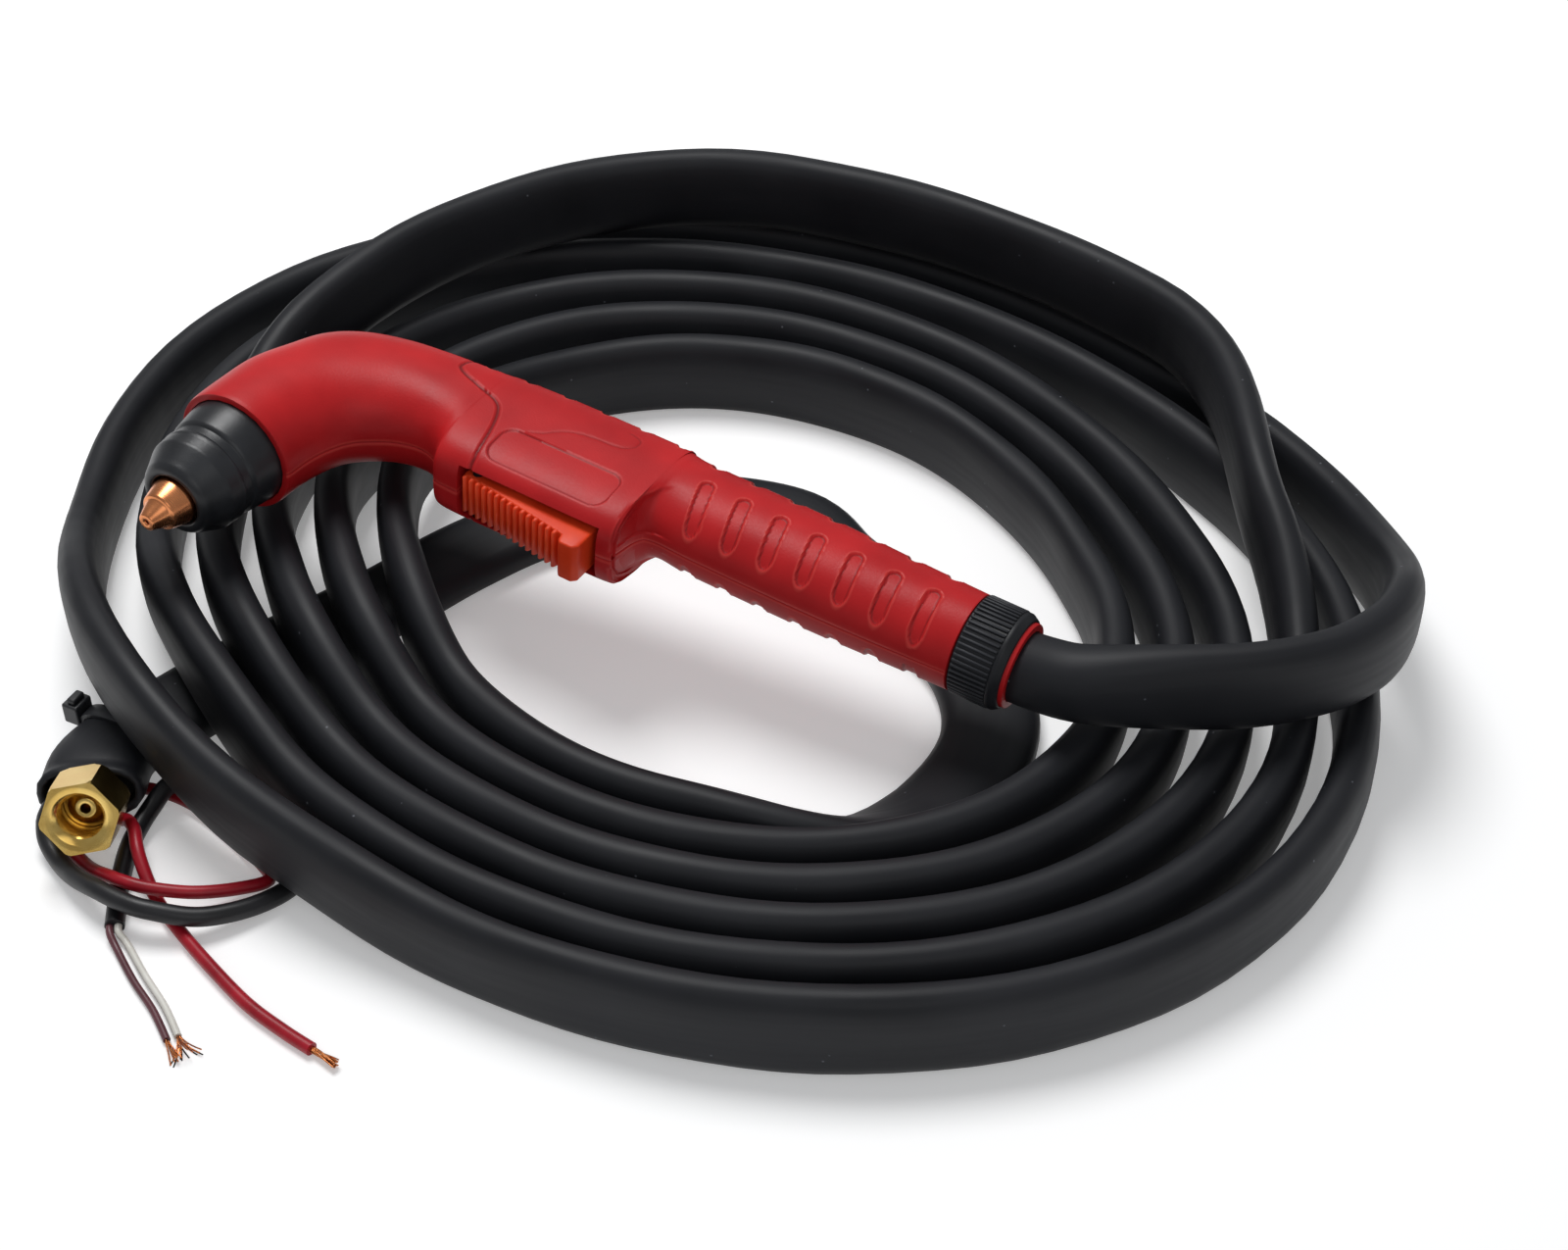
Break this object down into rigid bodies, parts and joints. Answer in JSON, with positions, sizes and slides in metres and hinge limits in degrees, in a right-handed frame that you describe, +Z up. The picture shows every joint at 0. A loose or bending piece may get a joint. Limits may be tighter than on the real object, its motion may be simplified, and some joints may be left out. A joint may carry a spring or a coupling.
{
  "type": "hand plasma cutting torch with coiled lead",
  "caption": "Angled hand torch with trigger, screw-on shield cap and copper nozzle, on a coiled flattened rubber lead that ends in a brass union nut and bare wires.",
  "frame": {"origin": "centre of the cylindrical seat on the shield cap, where a stand-off guide clamps", "axes": "nozzle points along -Y, handle runs along +X and slopes down a little, +Z up from the surface that the coiled lead lies on"},
  "size_m": [0.3839, 0.3654, 0.0745],
  "materials": {
    "red_shell": "satin",
    "red_trigger": "satin",
    "black_moulding": "satin",
    "switch_plastic": "matte",
    "insulator": "matte",
    "sheath_rubber": "matte",
    "hose_rubber": "matte",
    "seal_rubber": "satin",
    "turned_copper": "polished",
    "hafnium": "satin",
    "turned_brass": "polished",
    "steel": "satin",
    "black_jacket": "satin",
    "brown_insulation": "satin",
    "white_insulation": "satin",
    "red_insulation": "satin",
    "copper_strand": "satin"
  },
  "bodies": {
    "torch_and_lead": {"shell_upper": "red_shell", "shell_lower": "red_shell", "shell_screws": "steel", "head_body": "insulator", "power_tube": "turned_brass", "power_hose": "hose_rubber", "swirl_ring": "insulator", "electrode": "turned_copper", "hafnium_insert": "hafnium", "nozzle_tip": "turned_copper", "cap_o_ring": "seal_rubber", "trigger_pin": "steel", "trigger_spring": "steel", "switch_body": "switch_plastic", "cable_clamp": "black_moulding", "lead_rise": "sheath_rubber", "lead_coil": "sheath_rubber", "lead_tail": "sheath_rubber", "cable_tie": "black_moulding", "hose_nipple": "turned_brass", "control_cable": "black_jacket", "core_brown": "brown_insulation", "core_white": "white_insulation", "pilot_wire": "red_insulation", "copper_ends": "copper_strand"},
    "trigger": {"trigger": "red_trigger"},
    "plunger": {"switch_plunger": "red_trigger"},
    "cap": {"shield_cap": "black_moulding"},
    "collar": {"rear_collar": "black_moulding"},
    "nut": {"union_nut": "turned_brass"}
  },
  "joints": [
    {"name": "trigger_press", "type": "hinge", "parent": "torch_and_lead", "child": "trigger", "pos_m": [0.06132, 0.0291, -0.0059], "axis": [0.0958, 0, 0.9954], "range_deg": [0, 5], "stiffness_Nm_per_rad": 1.5, "springref_deg": -5.73, "deforming": ["trigger_spring"]},
    {"name": "plunger_slide", "type": "slide", "parent": "torch_and_lead", "child": "plunger", "axis": [0, 1, 0], "range_m": [0, 0.0017]},
    {"name": "cap_unscrew", "type": "hinge", "parent": "torch_and_lead", "child": "cap", "pos_m": [0, 0, 0], "axis": [0, -1, 0], "range_deg": [0, 720]},
    {"name": "collar_unscrew", "type": "hinge", "parent": "torch_and_lead", "child": "collar", "pos_m": [0.1951, 0.053, -0.01879], "axis": [0.9954, 0, -0.0958], "range_deg": [0, 720]},
    {"name": "nut_turn", "type": "hinge", "parent": "torch_and_lead", "child": "nut", "pos_m": [0.0265, -0.0955, -0.038], "axis": [0.4946, -0.7763, 0.3907], "continuous": true}
  ],
  "couplings": [
    {"joint": "plunger_slide", "follows": "trigger_press", "m_per_rad": 0.0191}
  ]
}
